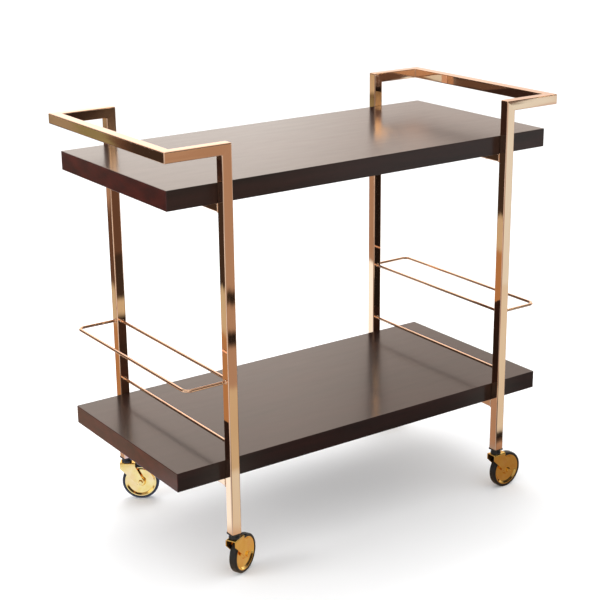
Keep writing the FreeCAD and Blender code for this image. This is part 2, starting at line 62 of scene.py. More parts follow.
class Finish:
    """A procedural material built around one Principled shader."""

    def __init__(self, name, **values):
        self.material = bpy.data.materials.new(name)
        self.material.use_nodes = True
        self.tree = self.material.node_tree
        self.shader = self.tree.nodes["Principled BSDF"]
        for socket, value in values.items():
            self.shader.inputs[socket.replace("_", " ")].default_value = value

    def add(self, kind, sockets=None, **settings):
        node = self.tree.nodes.new("ShaderNode" + kind)
        for name, value in settings.items():
            setattr(node, name, value)
        for name, value in (sockets or {}).items():
            self.put(node.inputs[name], value)
        return node

    def put(self, socket, value):
        """Link a socket to an output, or set it to a value."""
        if isinstance(value, bpy.types.NodeSocket):
            self.tree.links.new(value, socket)
        else:
            socket.default_value = value

    def drive(self, socket, output):
        self.tree.links.new(output, self.shader.inputs[socket])

    def driven(self, colour, roughness, normal):
        """The material, once outputs drive its colour, roughness and normal."""
        for socket, output in (("Base Color", colour), ("Roughness", roughness), ("Normal", normal)):
            self.drive(socket, output)
        return self.material

    def noise(self, scale, detail=3.0, roughness=0.5, distortion=0.0):
        """A noise pattern with that many features in a metre, alike in every direction or for each axis."""
        scales = scale if isinstance(scale, list) else [scale] * 3
        place = self.add("Mapping", {"Vector": self.add("TexCoord").outputs["Object"], "Scale": scales})
        return self.add("TexNoise", {
            "Vector": place.outputs["Vector"], "Scale": 1.0, "Detail": detail, "Roughness": roughness,
            "Distortion": distortion}).outputs[0]

    def spread(self, value, low=0.0, high=1.0, from_low=0.3, from_high=0.7):
        """A noise value stretched to run from low to high."""
        return self.add("MapRange", {
            "Value": value, "From Min": from_low, "From Max": from_high,
            "To Min": low, "To Max": high}).outputs["Result"]

    def blend(self, share, first, second):
        """A colour between two colours or colour outputs."""
        node = self.add("Mix", data_type="RGBA")
        self.put(node.inputs["Factor"], share)
        self.put(node.inputs[MIX_FIRST], first)
        self.put(node.inputs[MIX_SECOND], second)
        return node.outputs[MIX_RESULT]

    def bump(self, height, distance, strength=1.0, under=None):
        """A normal for a relief of that many metres, over another normal if one is given."""
        sockets = {"Height": height, "Distance": distance, "Strength": strength}
        if under is not None:
            sockets["Normal"] = under
        return self.add("Bump", sockets).outputs["Normal"]


MIX_FIRST, MIX_SECOND, MIX_RESULT = 6, 7, 2    # the colour sockets of a Mix node


def even_finish(name, tones, pattern, haze, relief, ends=(0.3, 0.7), **values):
    """A finish alike in every direction. Its two tones are mixed by a noise pattern stretched between its ends,
    haze is (scale, detail, least, most roughness) and relief is (scale, detail, depth, strength)."""
    finish = Finish(name, **values)
    colour = finish.blend(finish.spread(finish.noise(*pattern), 0.0, 1.0, *ends), *tones)
    scale, detail, least, most = haze
    roughness = finish.spread(finish.noise(scale, detail), least, most)
    scale, detail, depth, strength = relief
    return finish.driven(colour, roughness, finish.bump(finish.noise(scale, detail), depth, strength))


def along(axis, lengthwise, across):
    """A scale for each axis: one value along the given axis, another across it."""
    return [lengthwise if name == axis else across for name in "xyz"]


def copper(axis):
    """Polished copper plate, with the faint draw lines and waviness of tube that runs along one axis."""
    finish = Finish(f"copper_plate_{axis}", Metallic=1.0)
    tone = finish.spread(finish.noise(along(axis, 5, 22)))
    colour = finish.blend(tone, (0.905, 0.60, 0.42, 1), (0.94, 0.66, 0.48, 1))
    lines = finish.noise(along(axis, 18, 1500), 4.0, 0.6)
    clouds = finish.noise(along(axis, 30, 60), 4.0, 0.6)
    haze = finish.add("Math", {0: finish.spread(lines, 0.0, 0.015), 1: finish.spread(clouds, 0.012, 0.042)},
                      operation="ADD").outputs[0]
    waves = finish.bump(finish.noise(along(axis, 7, 70), 1.0), 90 * MICRON)
    return finish.driven(colour, haze, finish.bump(lines, 4 * MICRON, 0.4, waves))


def gold():
    """Bright yellow-gold plate on pressed steel, with slight colour play and fine scratches."""
    finish = Finish("gold_plate", Metallic=1.0, Specular_Tint=(1.0, 0.95, 0.8, 1.0))
    tone = finish.spread(finish.noise(60))
    warm = finish.blend(tone, (0.90, 0.58, 0.14, 1), (0.96, 0.70, 0.24, 1))
    pink = finish.spread(finish.noise(38, 2.0), 0.0, 0.35, 0.45, 0.7)
    colour = finish.blend(pink, warm, (0.93, 0.55, 0.28, 1))
    haze = finish.spread(finish.noise(420, 5.0, 0.65), 0.06, 0.15)
    dents = finish.bump(finish.noise(85, 2.0), 120 * MICRON)
    return finish.driven(colour, haze, finish.bump(finish.noise(1500), 12 * MICRON, 0.5, dents))


def board():
    """Espresso-stained wood veneer under semi-gloss lacquer, its grain along X."""
    finish = Finish("dark_board", IOR=1.3, Coat_Weight=1.0, Coat_Roughness=0.18, Coat_IOR=1.3)
    grain = finish.spread(finish.noise([2.2, 55, 70], 6.0, 0.62, 0.35), 0.0, 1.0, 0.32, 0.68)
    cloud = finish.spread(finish.noise([3.5, 6, 30]), 0.0, 0.5, 0.4, 0.75)
    pores = finish.noise([28, 900, 900], 3.0, 0.6)
    stain = finish.blend(grain, (0.006, 0.0022, 0.0016, 1), (0.013, 0.0042, 0.0030, 1))
    faces = finish.blend(cloud, stain, (0.030, 0.0060, 0.0042, 1))
    # The board's ends, the faces that look along X, get a redder, lighter mottled colour.
    facing = finish.add("SeparateXYZ", {0: finish.add("TexCoord").outputs["Normal"]}).outputs["X"]
    at_end = finish.add("Math", {0: facing}, operation="ABSOLUTE").outputs[0]
    mottled = finish.spread(finish.noise([60, 25, 60], 4.0, 0.6))
    end_face_colour = finish.blend(mottled, (0.018, 0.0034, 0.0026, 1), (0.050, 0.0060, 0.0038, 1))
    wood = finish.blend(at_end, faces, end_face_colour)
    in_pore = finish.spread(pores, 0.0, 0.55, 0.56, 0.72)
    colour = finish.blend(in_pore, wood, (0.005, 0.0028, 0.0025, 1))
    haze = finish.spread(finish.noise([12, 60, 60]), 0.31, 0.345)
    peel = finish.bump(finish.noise(90, 1.0), 8 * MICRON, 0.5)
    return finish.driven(colour, haze, finish.bump(pores, 20 * MICRON, 0.35, peel))


COPPER = {axis: copper(axis) for axis in "xyz"}
# Copper plate over a weld: the same metal, duller and finely rippled.
WELD = even_finish("copper_plate_weld", ((0.80, 0.50, 0.32, 1), (0.96, 0.76, 0.58, 1)), (260, 4.0),
                   (700, 3.0, 0.08, 0.20), (900, 3.0, 80 * MICRON, 0.6), Metallic=1.0)
GOLD, BOARD = gold(), board()
# Faintly dusty tyre rubber, moulded plastic with a spark-eroded grain, and turned zinc-plated steel.
RUBBER = even_finish("black_rubber", ((0.0045, 0.0042, 0.0041, 1), (0.012, 0.0115, 0.0115, 1)),
                     (140, 6.0, 0.65), (260, 4.0, 0.36, 0.52), (2200, 3.0, 30 * MICRON, 0.45),
                     ends=(0.4, 0.75), Specular_IOR_Level=0.45)
PLASTIC = even_finish("black_plastic", ((0.006, 0.006, 0.0065, 1), (0.014, 0.0135, 0.014, 1)), (90, 4.0),
                      (300, 4.0, 0.28, 0.42), (2600, 2.0, 20 * MICRON, 0.4), Specular_IOR_Level=0.5)
ZINC = even_finish("zinc_steel", ((0.50, 0.50, 0.51, 1), (0.68, 0.68, 0.67, 1)), (180, 4.0),
                   (500, 4.0, 0.22, 0.38), (1800, 2.0, 20 * MICRON, 0.4), Metallic=1.0)


# -------- mesh steps

SAME_POINT = 0.0001 * MM
LARGEST_FACE_WINS = 100    # the weighted normals' share of face area


def rounded(corners, radii, steps=6):
    """A closed 2-D outline through the corners, each rounded to its radius with that many edges."""
    outline = []
    count = len(corners)
    for index, corner in enumerate(corners):
        here = Vector(corner)
        radius = radii[index] if isinstance(radii, list) else radii
        if radius <= 0:
            outline.append(here)
            continue
        back = (Vector(corners[index - 1]) - here).normalized()
        onward = (Vector(corners[(index + 1) % count]) - here).normalized()
        half = back.angle(onward) / 2
        centre = here + (back + onward).normalized() * (radius / sin(half))
        first = here + back * (radius / tan(half)) - centre
        turn = pi - 2 * half
        if back.x * onward.y - back.y * onward.x > 0:
            turn = -turn
        for step in range(steps + 1):
            angle = turn * step / steps
            outline.append(centre + Vector((first.x * cos(angle) - first.y * sin(angle),
                                            first.x * sin(angle) + first.y * cos(angle))))
    return outline


def rectangle(half_x, half_y, radius, steps=6):
    """A rounded rectangle centred on the origin, counter-clockwise."""
    corners = [(half_x, half_y), (-half_x, half_y), (-half_x, -half_y), (half_x, -half_y)]
    return rounded(corners, radius, steps)


def loft(rings, closed=False, bm=None):
    """Skin rings of equally many points: closed joins the last ring to the first, else both ends are capped."""
    bm = bm or bmesh.new()
    rows = [[bm.verts.new(point) for point in ring] for ring in rings]
    count = len(rows[0])
    for row, following in zip(rows, rows[1:] + rows[:1] if closed else rows[1:]):
        for index in range(count):
            after = (index + 1) % count
            bm.faces.new((row[index], row[after], following[after], following[index]))
    if not closed:
        bm.faces.new(rows[0])
        bm.faces.new(rows[-1])
    return bm


def lathe(corners, radii, steps, place, segments):
    """Turn an outline of (radius, height) corners, rounded in steps, about the local Z axis of a matrix."""
    profile = rounded(corners, radii, steps)
    rings = []
    for segment in range(segments):
        angle = 2 * pi * segment / segments
        rings.append([place @ Vector((radius * cos(angle), radius * sin(angle), height))
                      for radius, height in profile])
    bm = loft(rings, closed=True)
    bmesh.ops.remove_doubles(bm, verts=bm.verts, dist=SAME_POINT)
    return bm


def circle(radius, steps=40):
    """A circle as a closed 2-D outline."""
    turns = [2 * pi * step / steps for step in range(steps)]
    return [Vector((radius * cos(turn), radius * sin(turn))) for turn in turns]


def round_ring(centre, first, second, radius, sides):
    """A circle of points around a centre, drawn in two directions."""
    return [centre + first * point.x + second * point.y for point in circle(radius, sides)]


def placed(name, data):
    """A new object in the scene."""
    made = bpy.data.objects.new(name, data)
    bpy.context.scene.collection.objects.link(made)
    return made


def mesh_object(name, bm, material):
    """A new object made from a bmesh and one material."""
    mesh = bpy.data.meshes.new(name)
    bm.to_mesh(mesh)
    bm.free()
    mesh.materials.append(material)
    return placed(name, mesh)


def add_piece(name, bm, material, body, stands_for=(), crease=40):
    """Turn a bmesh into a piece that rides on a CAD body; edges bent by more than crease degrees stay sharp."""
    bmesh.ops.recalc_face_normals(bm, faces=bm.faces)
    piece = mesh_object(name, bm, material)
    piece.data.shade_smooth()
    piece.data.set_sharp_from_angle(angle=radians(crease))
    normals = piece.modifiers.new("flat_faces_stay_flat", "WEIGHTED_NORMAL")
    normals.keep_sharp = True
    normals.weight = LARGEST_FACE_WINS
    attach(piece, body)
    if stands_for:
        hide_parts(*stands_for)


def middle(node):
    """The middle of a CAD node's box."""
    low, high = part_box(node)
    return (low + high) / 2


# -------- square tubes

TUBE_CORNER = 2.0 * MM
TUBE_WALL = 1.5 * MM
OUTER_BEND = 2.4 * MM      # ground outer edge of a mitred corner
INNER_BEND = 1.4 * MM      # weld fillet inside a mitred corner
CAVITY_BEND = 0.4 * MM
CUT_EDGE = 0.35 * MM
MITRE_STEPS = 4


def axes_across(direction):
    """Two unit vectors across a direction along one of the main axes."""
    first = UP if abs(direction.z) < 0.5 else Vector((1, 0, 0))
    return first, direction.cross(first)


def bend_ring(corner, before, after, offsets, radius_at, angle):
    """Points of a section as it passes a mitred corner, at an angle from 0 to 90 degrees."""
    ring = []
    for offset in offsets:
        out = offset.dot(before) if abs(offset.dot(before)) > abs(offset.dot(after)) else -offset.dot(after)
        aside = offset - before * offset.dot(before) - after * offset.dot(after)
        radius = radius_at(out)
        sharp = corner + (before - after) * out + aside
        centre = sharp - before * radius + after * radius
        ring.append(centre + (before * sin(angle) - after * cos(angle)) * radius)
    return ring


def tube_rings(start, end, offsets, before, after, outer, inner, half):
    """Rings of a tube from start to end. A mitre at an end is given by the neighbour's direction, and outer and
    inner are its bend radii on the two sides of a tube that is half wide to each side."""
    direction = (end - start).normalized()
    angles = [pi / 4 * step / MITRE_STEPS for step in range(MITRE_STEPS + 1)]

    def radius_at(out):
        return inner + (outer - inner) * (out / half + 1) / 2

    rings = []
    if before is None:
        rings.append([start + offset * (1 - CUT_EDGE / half) for offset in offsets])
        rings.append([start + direction * CUT_EDGE + offset for offset in offsets])
    else:
        rings += [bend_ring(start, before, direction, offsets, radius_at, angle + pi / 4) for angle in angles]
    if after is None:
        rings.append([end - direction * CUT_EDGE + offset for offset in offsets])
        rings.append([end + offset * (1 - CUT_EDGE / half) for offset in offsets])
    else:
        rings += [bend_ring(end, direction, after, offsets, radius_at, angle) for angle in angles]
    return rings


def square_tube(name, start, end, material, stands_for, size, before=None, after=None):
    """A hollow tube with rounded corners, mitred where it has a neighbour; size gives its two half widths."""
    direction = (end - start).normalized()
    half_a, half_b = size
    first, second = axes_across(direction)
    sections = []
    for inset, corner in ((0, TUBE_CORNER), (TUBE_WALL, TUBE_CORNER - TUBE_WALL)):
        outline = rectangle(half_a - inset, half_b - inset, corner)
        sections.append([first * point.x + second * point.y for point in outline])
    outside = tube_rings(start, end, sections[0], before, after, OUTER_BEND, INNER_BEND, half_a)
    inside = tube_rings(start, end, sections[1], before, after, CAVITY_BEND, CAVITY_BEND, half_a)
    add_piece(name, loft(outside + inside[::-1], closed=True), material, "frame", stands_for)


def end_frame(end):
    """The leg, arm, bar, arm and leg at one end, mitred into one another."""
    node = f"handle_bar_{end}"
    low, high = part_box(node)
    bar, size = middle(node), [(high.z - low.z) / 2] * 2
    outwards, across = Vector((ENDS[end], 0, 0)), Vector((0, 1, 0))
    reaches = []
    for side, sign in SIDES.items():
        leg = middle(f"leg_{side}_{end}")
        foot = Vector((leg.x, leg.y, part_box(f"leg_{side}_{end}")[0].z))
        top, reach = Vector((leg.x, leg.y, bar.z)), Vector((bar.x, leg.y, bar.z))
        reaches.append(reach)
        square_tube(f"leg_tube_{side}_{end}", foot, top, COPPER["z"], [f"leg_{side}_{end}"], size,
                    after=outwards)
        square_tube(f"handle_arm_tube_{side}_{end}", top, reach, COPPER["x"], [f"handle_arm_{side}_{end}"],
                    size, UP, across * -sign)
    square_tube(f"handle_bar_tube_{end}", *reaches, COPPER["y"], [node], size, outwards, -outwards)


# -------- welds

BEAD_SIDES = 12
BEAD_STEP, RIPPLE_LENGTH = 0.4 * MM, 1.3 * MM
RIPPLE, SWELL = 0.09, 0.10  # shares of the bead's radius
SWELLS = 400               # in a metre
TUBE_WELD, WIRE_WELD = 1.1 * MM, 1.5 * MM


def dense(outline, spacing):
    """Points evenly spaced along a closed 2-D outline."""
    lengths = [(outline[(index + 1) % len(outline)] - point).length for index, point in enumerate(outline)]
    total = sum(lengths)
    count = round(total / spacing)
    points, index, passed = [], 0, 0.0
    for step in range(count):
        target = total * step / count
        while passed + lengths[index] < target:
            passed += lengths[index]
            index += 1
        share = (target - passed) / lengths[index]
        points.append(outline[index].lerp(outline[(index + 1) % len(outline)], share))
    return points


def joint_bead(name, centre, normal, outline, radius, seed):
    """A rippled weld around the end of a tube or wire, where it meets the flat face of a leg."""
    first, second = axes_across(normal)
    path = [centre + first * point.x + second * point.y for point in dense(outline, BEAD_STEP)]
    total = sum((point - path[index - 1]).length for index, point in enumerate(path))
    ripples = round(total / RIPPLE_LENGTH)
    rings, run = [], 0.0
    for index, point in enumerate(path):
        run += (point - path[index - 1]).length if index else 0.0
        outwards = (path[(index + 1) % len(path)] - path[index - 1]).normalized().cross(normal)
        swell = SWELL * noise.noise(Vector((seed, run * SWELLS, 0)))
        ripple = RIPPLE * sin(2 * pi * ripples * run / total)
        rings.append(round_ring(point, outwards, normal, radius * (1 + swell + ripple), BEAD_SIDES))
    add_piece(name, loft(rings, closed=True), WELD, "frame", crease=80)


def leg_welds(name, ends, outline, radius, seed):
    """The welds at both ends of what joins a front and a rear leg; name and seed are functions."""
    for (side, sign), point in zip(SIDES.items(), ends):
        joint_bead(name(side), point, Vector((0, -sign, 0)), outline, radius, seed(point))


def cross_tube(level, end):
    """The tube under one shelf between two legs, with its welds."""
    node = f"cross_tube_{level}_{end}"
    low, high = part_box(node)
    front, rear = middle(node), middle(node)
    front.y, rear.y = low.y, high.y
    size = ((high.z - low.z) / 2, (high.x - low.x) / 2)
    square_tube(f"cross_tube_plated_{level}_{end}", front, rear, COPPER["y"], [node], size)
    leg_welds(lambda side: f"weld_cross_{level}_{side}_{end}", (front, rear), rectangle(*size, TUBE_CORNER),
              TUBE_WELD, lambda point: len(level) + point.y)


# -------- wire guards

WIRE_SIDES = 24
GUARD_CORNER = 12 * MM
CORNER_STEPS = 12
RAIL_STEPS = 24


def wire(name, path, radius, material, stands_for):
    """A round wire along a level path of points."""
    rings = []
    for index, point in enumerate(path):
        ahead, behind = path[min(index + 1, len(path) - 1)], path[max(index - 1, 0)]
        side = (ahead - behind).normalized().cross(UP).normalized()
        rings.append(round_ring(point, side, UP, radius, WIRE_SIDES))
    add_piece(name, loft(rings), material, "frame", stands_for, crease=60)


def guard_loop(end):
    """The U of wire around the end of the lower shelf."""
    node = f"guard_loop_{end}"
    low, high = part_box(node)
    radius, height = (high.z - low.z) / 2, (low.z + high.z) / 2
    sign = ENDS[end]
    inner_x, outer_x = (high.x, low.x + radius) if sign < 0 else (low.x, high.x - radius)
    front, rear = low.y + radius, high.y - radius
    path = [Vector((inner_x, front, height))]
    for side_y, inward, turn_from in ((front, 1, -90), (rear, -1, 0)):
        centre = Vector((outer_x - sign * GUARD_CORNER, side_y + inward * GUARD_CORNER, height))
        for step in range(CORNER_STEPS + 1):
            angle = radians(turn_from + 90 * step / CORNER_STEPS)
            path.append(centre + Vector((sign * cos(angle), sin(angle), 0)) * GUARD_CORNER)
    path.append(Vector((inner_x, rear, height)))
    wire(f"guard_loop_wire_{end}", path, radius, COPPER["y"], [node])
    for side, point in (("front", path[0]), ("rear", path[-1])):
        joint_bead(f"weld_loop_{side}_{end}", point, Vector((sign, 0, 0)), circle(radius), WIRE_WELD,
                   point.y * 50 + sign)


def guard_rail(level, end):
    """A straight wire between a front and a rear leg."""
    node = f"guard_rail_{level}_{end}"
    low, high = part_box(node)
    radius, centre = (high.z - low.z) / 2, middle(node)
    path = [Vector((centre.x, low.y + (high.y - low.y) * step / RAIL_STEPS, centre.z))
            for step in range(RAIL_STEPS + 1)]
    wire(f"guard_rail_wire_{level}_{end}", path, radius, COPPER["y"], [node])
    leg_welds(lambda side: f"weld_rail_{level}_{side}_{end}", (path[0], path[-1]), circle(radius), WIRE_WELD,
              lambda point: point.y * 30 + centre.z)


# -------- shelves

def shelf(level):
    """A thick board with softly rounded edges."""
    node = f"{level}_shelf"
    low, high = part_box(node)
    centre, half = (low + high) / 2, (high - low) / 2
    edge, corner, steps = 1.1 * MM, 1.6 * MM, 5
    rings = []
    for sign in (-1, 1):
        angles = [pi / 2 * step / steps for step in range(steps + 1)]
        for angle in (angles if sign > 0 else angles[::-1]):
            inset = edge * (1 - cos(angle))
            height = centre.z + sign * (half.z - edge * (1 - sin(angle)))
            outline = rectangle(half.x - inset, half.y - inset, corner - inset)
            rings.append([Vector((centre.x + point.x, centre.y + point.y, height)) for point in outline])
    add_piece(f"{level}_shelf_board", loft(rings), BOARD, "frame", [node])


# -------- casters

SHEET = 2.0 * MM
SHEET_EDGE, SHEET_CORNER = 0.35 * MM, radians(60)  # broken edges, where it turns by more than that
FORK_BEND = 2.6 * MM       # outer radius of its two bends
BEND_MIDDLE = FORK_BEND - SHEET / 2
FORK_FRONT, FORK_REAR = 13.5 * MM, 18 * MM
FORK_FRONT_DROP, FORK_REAR_DROP = 13 * MM, 8 * MM
FORK_END = 7.5 * MM
KINGPIN_HOLE, AXLE_HOLE = 4.06 * MM, 3.08 * MM
END_STEPS, BEND_STEPS, HOLE_SIDES = 18, 6, 32
HEX_ACROSS, HEX_CORNER = 9 * MM, 0.4 * MM
HEAD_HEIGHT, NUT_HEIGHT = 3.4 * MM, 4.2 * MM
HEX_FACE, HEX_FOOT = 0.94, 0.965               # shares of the hexagon at its turned face and at its foot
CHAMFER = radians(30)
BOLT_SHANK, BOLT_BORE = 3.0 * MM, 3.04 * MM


class Caster:
    """Where one caster is, worked out from its two joints and its CAD nodes."""

    def __init__(self, name):
        self.name = name
        self.swivel_body, self.wheel_body = f"swivel_{name}", f"rolling_{name}"
        pivot = Vector(JOINTS[f"turn_{name}"]["pos_m"])
        axle, axis = Vector(JOINTS[f"roll_{name}"]["pos_m"]), Vector(JOINTS[f"roll_{name}"]["axis"])
        trail = axle - pivot
        trail.z = 0
        self.trail, self.axle_height, self.fork_top = trail.length, axle.z, pivot.z
        forward = trail.normalized()
        self.leg = Matrix.Translation((pivot.x, pivot.y, 0))
        self.local = self.leg @ Matrix((forward, axis, UP)).transposed().to_4x4()
        self.axle = Matrix.Translation(axle) @ Matrix((-forward, UP, axis)).transposed().to_4x4()
        vertices = frame["nodes"][f"caster_fork_{name}"].data.vertices
        self.fork_half = max((vertex.co - axle).dot(axis) for vertex in vertices)
        self.bend_start = self.fork_half - FORK_BEND
        self.bend_end = self.bend_start + BEND_MIDDLE * pi / 2

    def add(self, name, bm, material, body, node, crease=40):
        """Add a piece of this caster in place of one of its nodes."""
        add_piece(f"{name}_{self.name}", bm, material, body, [f"{node}_{self.name}"], crease)

    def run_at(self, height):
        """The run along the middle of the fork's sheet, from its crown to a height on a cheek."""
        return self.bend_end + (self.fork_top - FORK_BEND - height)


def touch(outside, centre, radius, turn):
    """The direction from a circle's centre to where a line from an outside point touches it."""
    to_point = outside - centre
    return atan2(to_point.y, to_point.x) + acos(radius / to_point.length) * turn


def fork_outline(caster):
    """The fork's flat pattern as points of (x, run along the sheet), from one axle end to the other."""
    front_low = Vector((-FORK_FRONT, caster.fork_top - FORK_FRONT_DROP))
    rear_low = Vector((FORK_REAR, caster.fork_top - FORK_REAR_DROP))
    axle = Vector((caster.trail, caster.axle_height))
    start = touch(rear_low, axle, FORK_END, -1)
    sweep = (start - touch(front_low, axle, FORK_END, 1)) % (2 * pi)
    half = [rear_low]
    for step in range(END_STEPS + 1):
        angle = start - sweep * step / END_STEPS
        half.append(axle + Vector((cos(angle), sin(angle))) * FORK_END)
    half.append(front_low)
    right = [Vector((point.x, caster.run_at(point.y))) for point in half]
    return right + [Vector((point.x, -point.y)) for point in reversed(right)]


def fork(caster):
    """The bent sheet fork: a flat pattern folded over its two bends, with rounded sheet edges."""
    bm = bmesh.new()
    axle_run = caster.run_at(caster.axle_height)
    loops = [fork_outline(caster)]
    for x, run, radius in ((0, 0, KINGPIN_HOLE), (caster.trail, -axle_run, AXLE_HOLE),
                           (caster.trail, axle_run, AXLE_HOLE)):
        loops.append([Vector((x, run)) + point for point in circle(radius, HOLE_SIDES)])
    for points in loops:
        verts = [bm.verts.new((point.x, point.y, 0)) for point in points]
        for index, vert in enumerate(verts):
            bm.edges.new((vert, verts[(index + 1) % len(verts)]))
    bmesh.ops.triangle_fill(bm, use_beauty=True, use_dissolve=False, edges=bm.edges[:])
    for sign in (-1, 1):
        for step in range(BEND_STEPS + 1):
            run = sign * (caster.bend_start + (caster.bend_end - caster.bend_start) * step / BEND_STEPS)
            geometry = bm.verts[:] + bm.edges[:] + bm.faces[:]
            bmesh.ops.bisect_plane(bm, geom=geometry, plane_co=(0, run, 0), plane_no=(0, 1, 0))

    def folded(x, run, lift):
        """A point of the flat pattern after bending, lift away from the middle of the sheet."""
        sign, run = (1 if run >= 0 else -1), abs(run)
        if run <= caster.bend_start:
            return Vector((x, sign * run, caster.fork_top - SHEET / 2 + lift))
        angle = min((run - caster.bend_start) / BEND_MIDDLE, pi / 2)
        reach = BEND_MIDDLE + lift
        down = max(run - caster.bend_end, 0.0)
        return Vector((x, sign * (caster.bend_start + reach * sin(angle)),
                       caster.fork_top - FORK_BEND + reach * cos(angle) - down))

    bm.verts.index_update()
    faces = [[vert.index for vert in face.verts] for face in bm.faces]
    rim = [[vert.index for vert in edge.verts] for edge in bm.edges if edge.is_boundary]
    pattern = [vert.co.copy() for vert in bm.verts]
    bm.clear()
    skins = [[bm.verts.new(folded(point.x, point.y, lift)) for point in pattern]
             for lift in (-SHEET / 2, SHEET / 2)]
    for skin in skins:
        for face in faces:
            bm.faces.new([skin[index] for index in face])
    for first, second in rim:
        bm.faces.new((skins[0][first], skins[0][second], skins[1][second], skins[1][first]))
    bmesh.ops.recalc_face_normals(bm, faces=bm.faces)
    sharp = [edge for edge in bm.edges if edge.is_manifold and edge.calc_face_angle(0.0) > SHEET_CORNER]
    bmesh.ops.bevel(bm, geom=sharp, offset=SHEET_EDGE, segments=2, profile=0.5, affect="EDGES")
    bm.transform(caster.local)
    caster.add("fork_sheet", bm, GOLD, caster.swivel_body, "caster_fork")


def turned_size(node, axle):
    """The inner radius, outer radius and half width of a turned CAD node, about the axis of a matrix."""
    points = [axle.inverted() @ vertex.co for vertex in frame["nodes"][node].data.vertices]
    radii = [point.xy.length for point in points]
    return min(radii), max(radii), max(point.z for point in points)


def both_sides(right, radii):
    """A closed profile and its corner radii, from the half on the axis' positive side."""
    return right + [(radius, -height) for radius, height in reversed(right)], radii + radii[::-1]


def wheel(caster):
    """The dished wheel: hub boss, thin web and raised lip."""
    _, rim, hub_half = turned_size(f"wheel_{caster.name}", caster.axle)
    bore, hub, foot, web, dish = 4.56 * MM, 8 * MM, 11 * MM, 3.5 * MM, 26.5 * MM
    lip_half, lip = 6.7 * MM, 1.8 * MM
    corners, radii = both_sides(
        [(bore, hub_half), (hub, hub_half), (foot, web), (dish, web), (rim - lip, lip_half), (rim, lip_half)],
        [0.3 * MM, 0.9 * MM, 2.0 * MM, 2.2 * MM, 0.8 * MM, 0.25 * MM])
    caster.add("wheel_disc", lathe(corners, radii, 6, caster.axle, 96), GOLD, caster.wheel_body, "wheel")


def tyre(caster):
    """The thin tyre, with rounded shoulders, bead lines and a mould line around its tread."""
    inner, outer, half = turned_size(f"tyre_{caster.name}", caster.axle)
    crown = outer - 0.12 * MM
    side = [(inner, half - 0.25 * MM), (inner + 0.9 * MM, half), (inner + 1.3 * MM, half),
            (inner + 1.5 * MM, half - 0.2 * MM), (inner + 1.7 * MM, half), (crown, half)]
    mould_line = [(crown, 0.22 * MM), (outer, 0.09 * MM)]
    corners, radii = both_sides(side + mould_line, [0.15 * MM, 0.2 * MM, 0, 0, 0, 3.3 * MM, 0, 0])
    caster.add("tyre_ring", lathe(corners, radii, 8, caster.axle, 128), RUBBER, caster.wheel_body, "tyre", 60)


def scaled(points, share, height):
    """The points drawn towards the axis to a share of their distance, at one height."""
    return [Vector((point.x * share, point.y * share, height)) for point in points]


def drawn_to(points, radius, height):
    """The points moved to one distance from the axis, at one height."""
    return [Vector((*(point.xy.normalized() * radius), height)) for point in points]


def hex_rings(height, base, direction):
    """Rings of a hexagon head that stands on base, with its outer corners turned off."""
    outline = rounded(circle(HEX_ACROSS / sqrt(3), 6), HEX_CORNER, 5)
    face = HEX_ACROSS / 2 * HEX_FACE
    top = []
    for point in outline:
        drop = (point.length - face) * tan(CHAMFER)
        top.append(Vector((point.x, point.y, base + direction * (height - drop))))
    return (scaled(outline, HEX_FOOT, base), scaled(outline, 1, base + direction * 0.15 * MM), top,
            drawn_to(outline, face, base + direction * height))


def axle_bolt(caster):
    """The wheel bolt with a hexagon head, and its nut with the thread standing out of it."""
    half = caster.fork_half
    thread, tip_edge, dimple, nut_edge = 5.2 * MM, 0.5 * MM, 0.25 * MM, 0.4 * MM
    foot, low, top, cap = hex_rings(HEAD_HEIGHT, -half, -1)
    neck = drawn_to(foot, BOLT_SHANK, -half)
    bolt = [scaled(cap, 0.70, -half - HEAD_HEIGHT + dimple), scaled(cap, 0.75, -half - HEAD_HEIGHT),
            cap, top, low, foot, neck,
            scaled(neck, 1, half + thread - tip_edge), scaled(neck, 0.84, half + thread)]
    foot, low, top, cap = hex_rings(NUT_HEIGHT, half, 1)
    nut = [foot, low, top, cap, drawn_to(foot, BOLT_BORE + nut_edge, half + NUT_HEIGHT),
           drawn_to(foot, BOLT_BORE, half + NUT_HEIGHT - nut_edge), drawn_to(foot, BOLT_BORE, half)]
    bm = loft([[caster.axle @ point for point in ring] for ring in bolt])
    loft([[caster.axle @ point for point in ring] for ring in nut], closed=True, bm=bm)
    caster.add("axle_bolt_and_nut", bm, GOLD, caster.swivel_body, "axle_bolt", 25)


def sleeve(caster):
    """The sleeve between the cheeks that the wheel turns on."""
    half, outer = caster.fork_half - SHEET, 4.5 * MM
    corners = [(BOLT_BORE, half), (outer, half), (outer, -half), (BOLT_BORE, -half)]
    bm = lathe(corners, 0.25 * MM, 3, caster.axle, 48)
    caster.add("axle_sleeve_turned", bm, ZINC, caster.swivel_body, "axle_sleeve")


def race(caster):
    """The black cup over the bearing balls."""
    low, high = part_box(f"caster_race_{caster.name}")
    radius, neck, top_radius = (high.x - low.x) / 2, 4.0 * MM, 8.4 * MM
    skirt, roof, shoulder = 1.0 * MM, low.z + 4 * MM, low.z + 3.2 * MM
    corners = [(neck, roof), (radius - skirt, roof), (radius - skirt, low.z), (radius, low.z),
               (radius, shoulder), (top_radius, high.z), (neck, high.z)]
    radii = [0, 0.6 * MM, 0.25 * MM, 0.35 * MM, 1.6 * MM, 1.0 * MM, 0]
    caster.add("race_cup", lathe(corners, radii, 5, caster.leg, 72), PLASTIC, "frame", "caster_race")


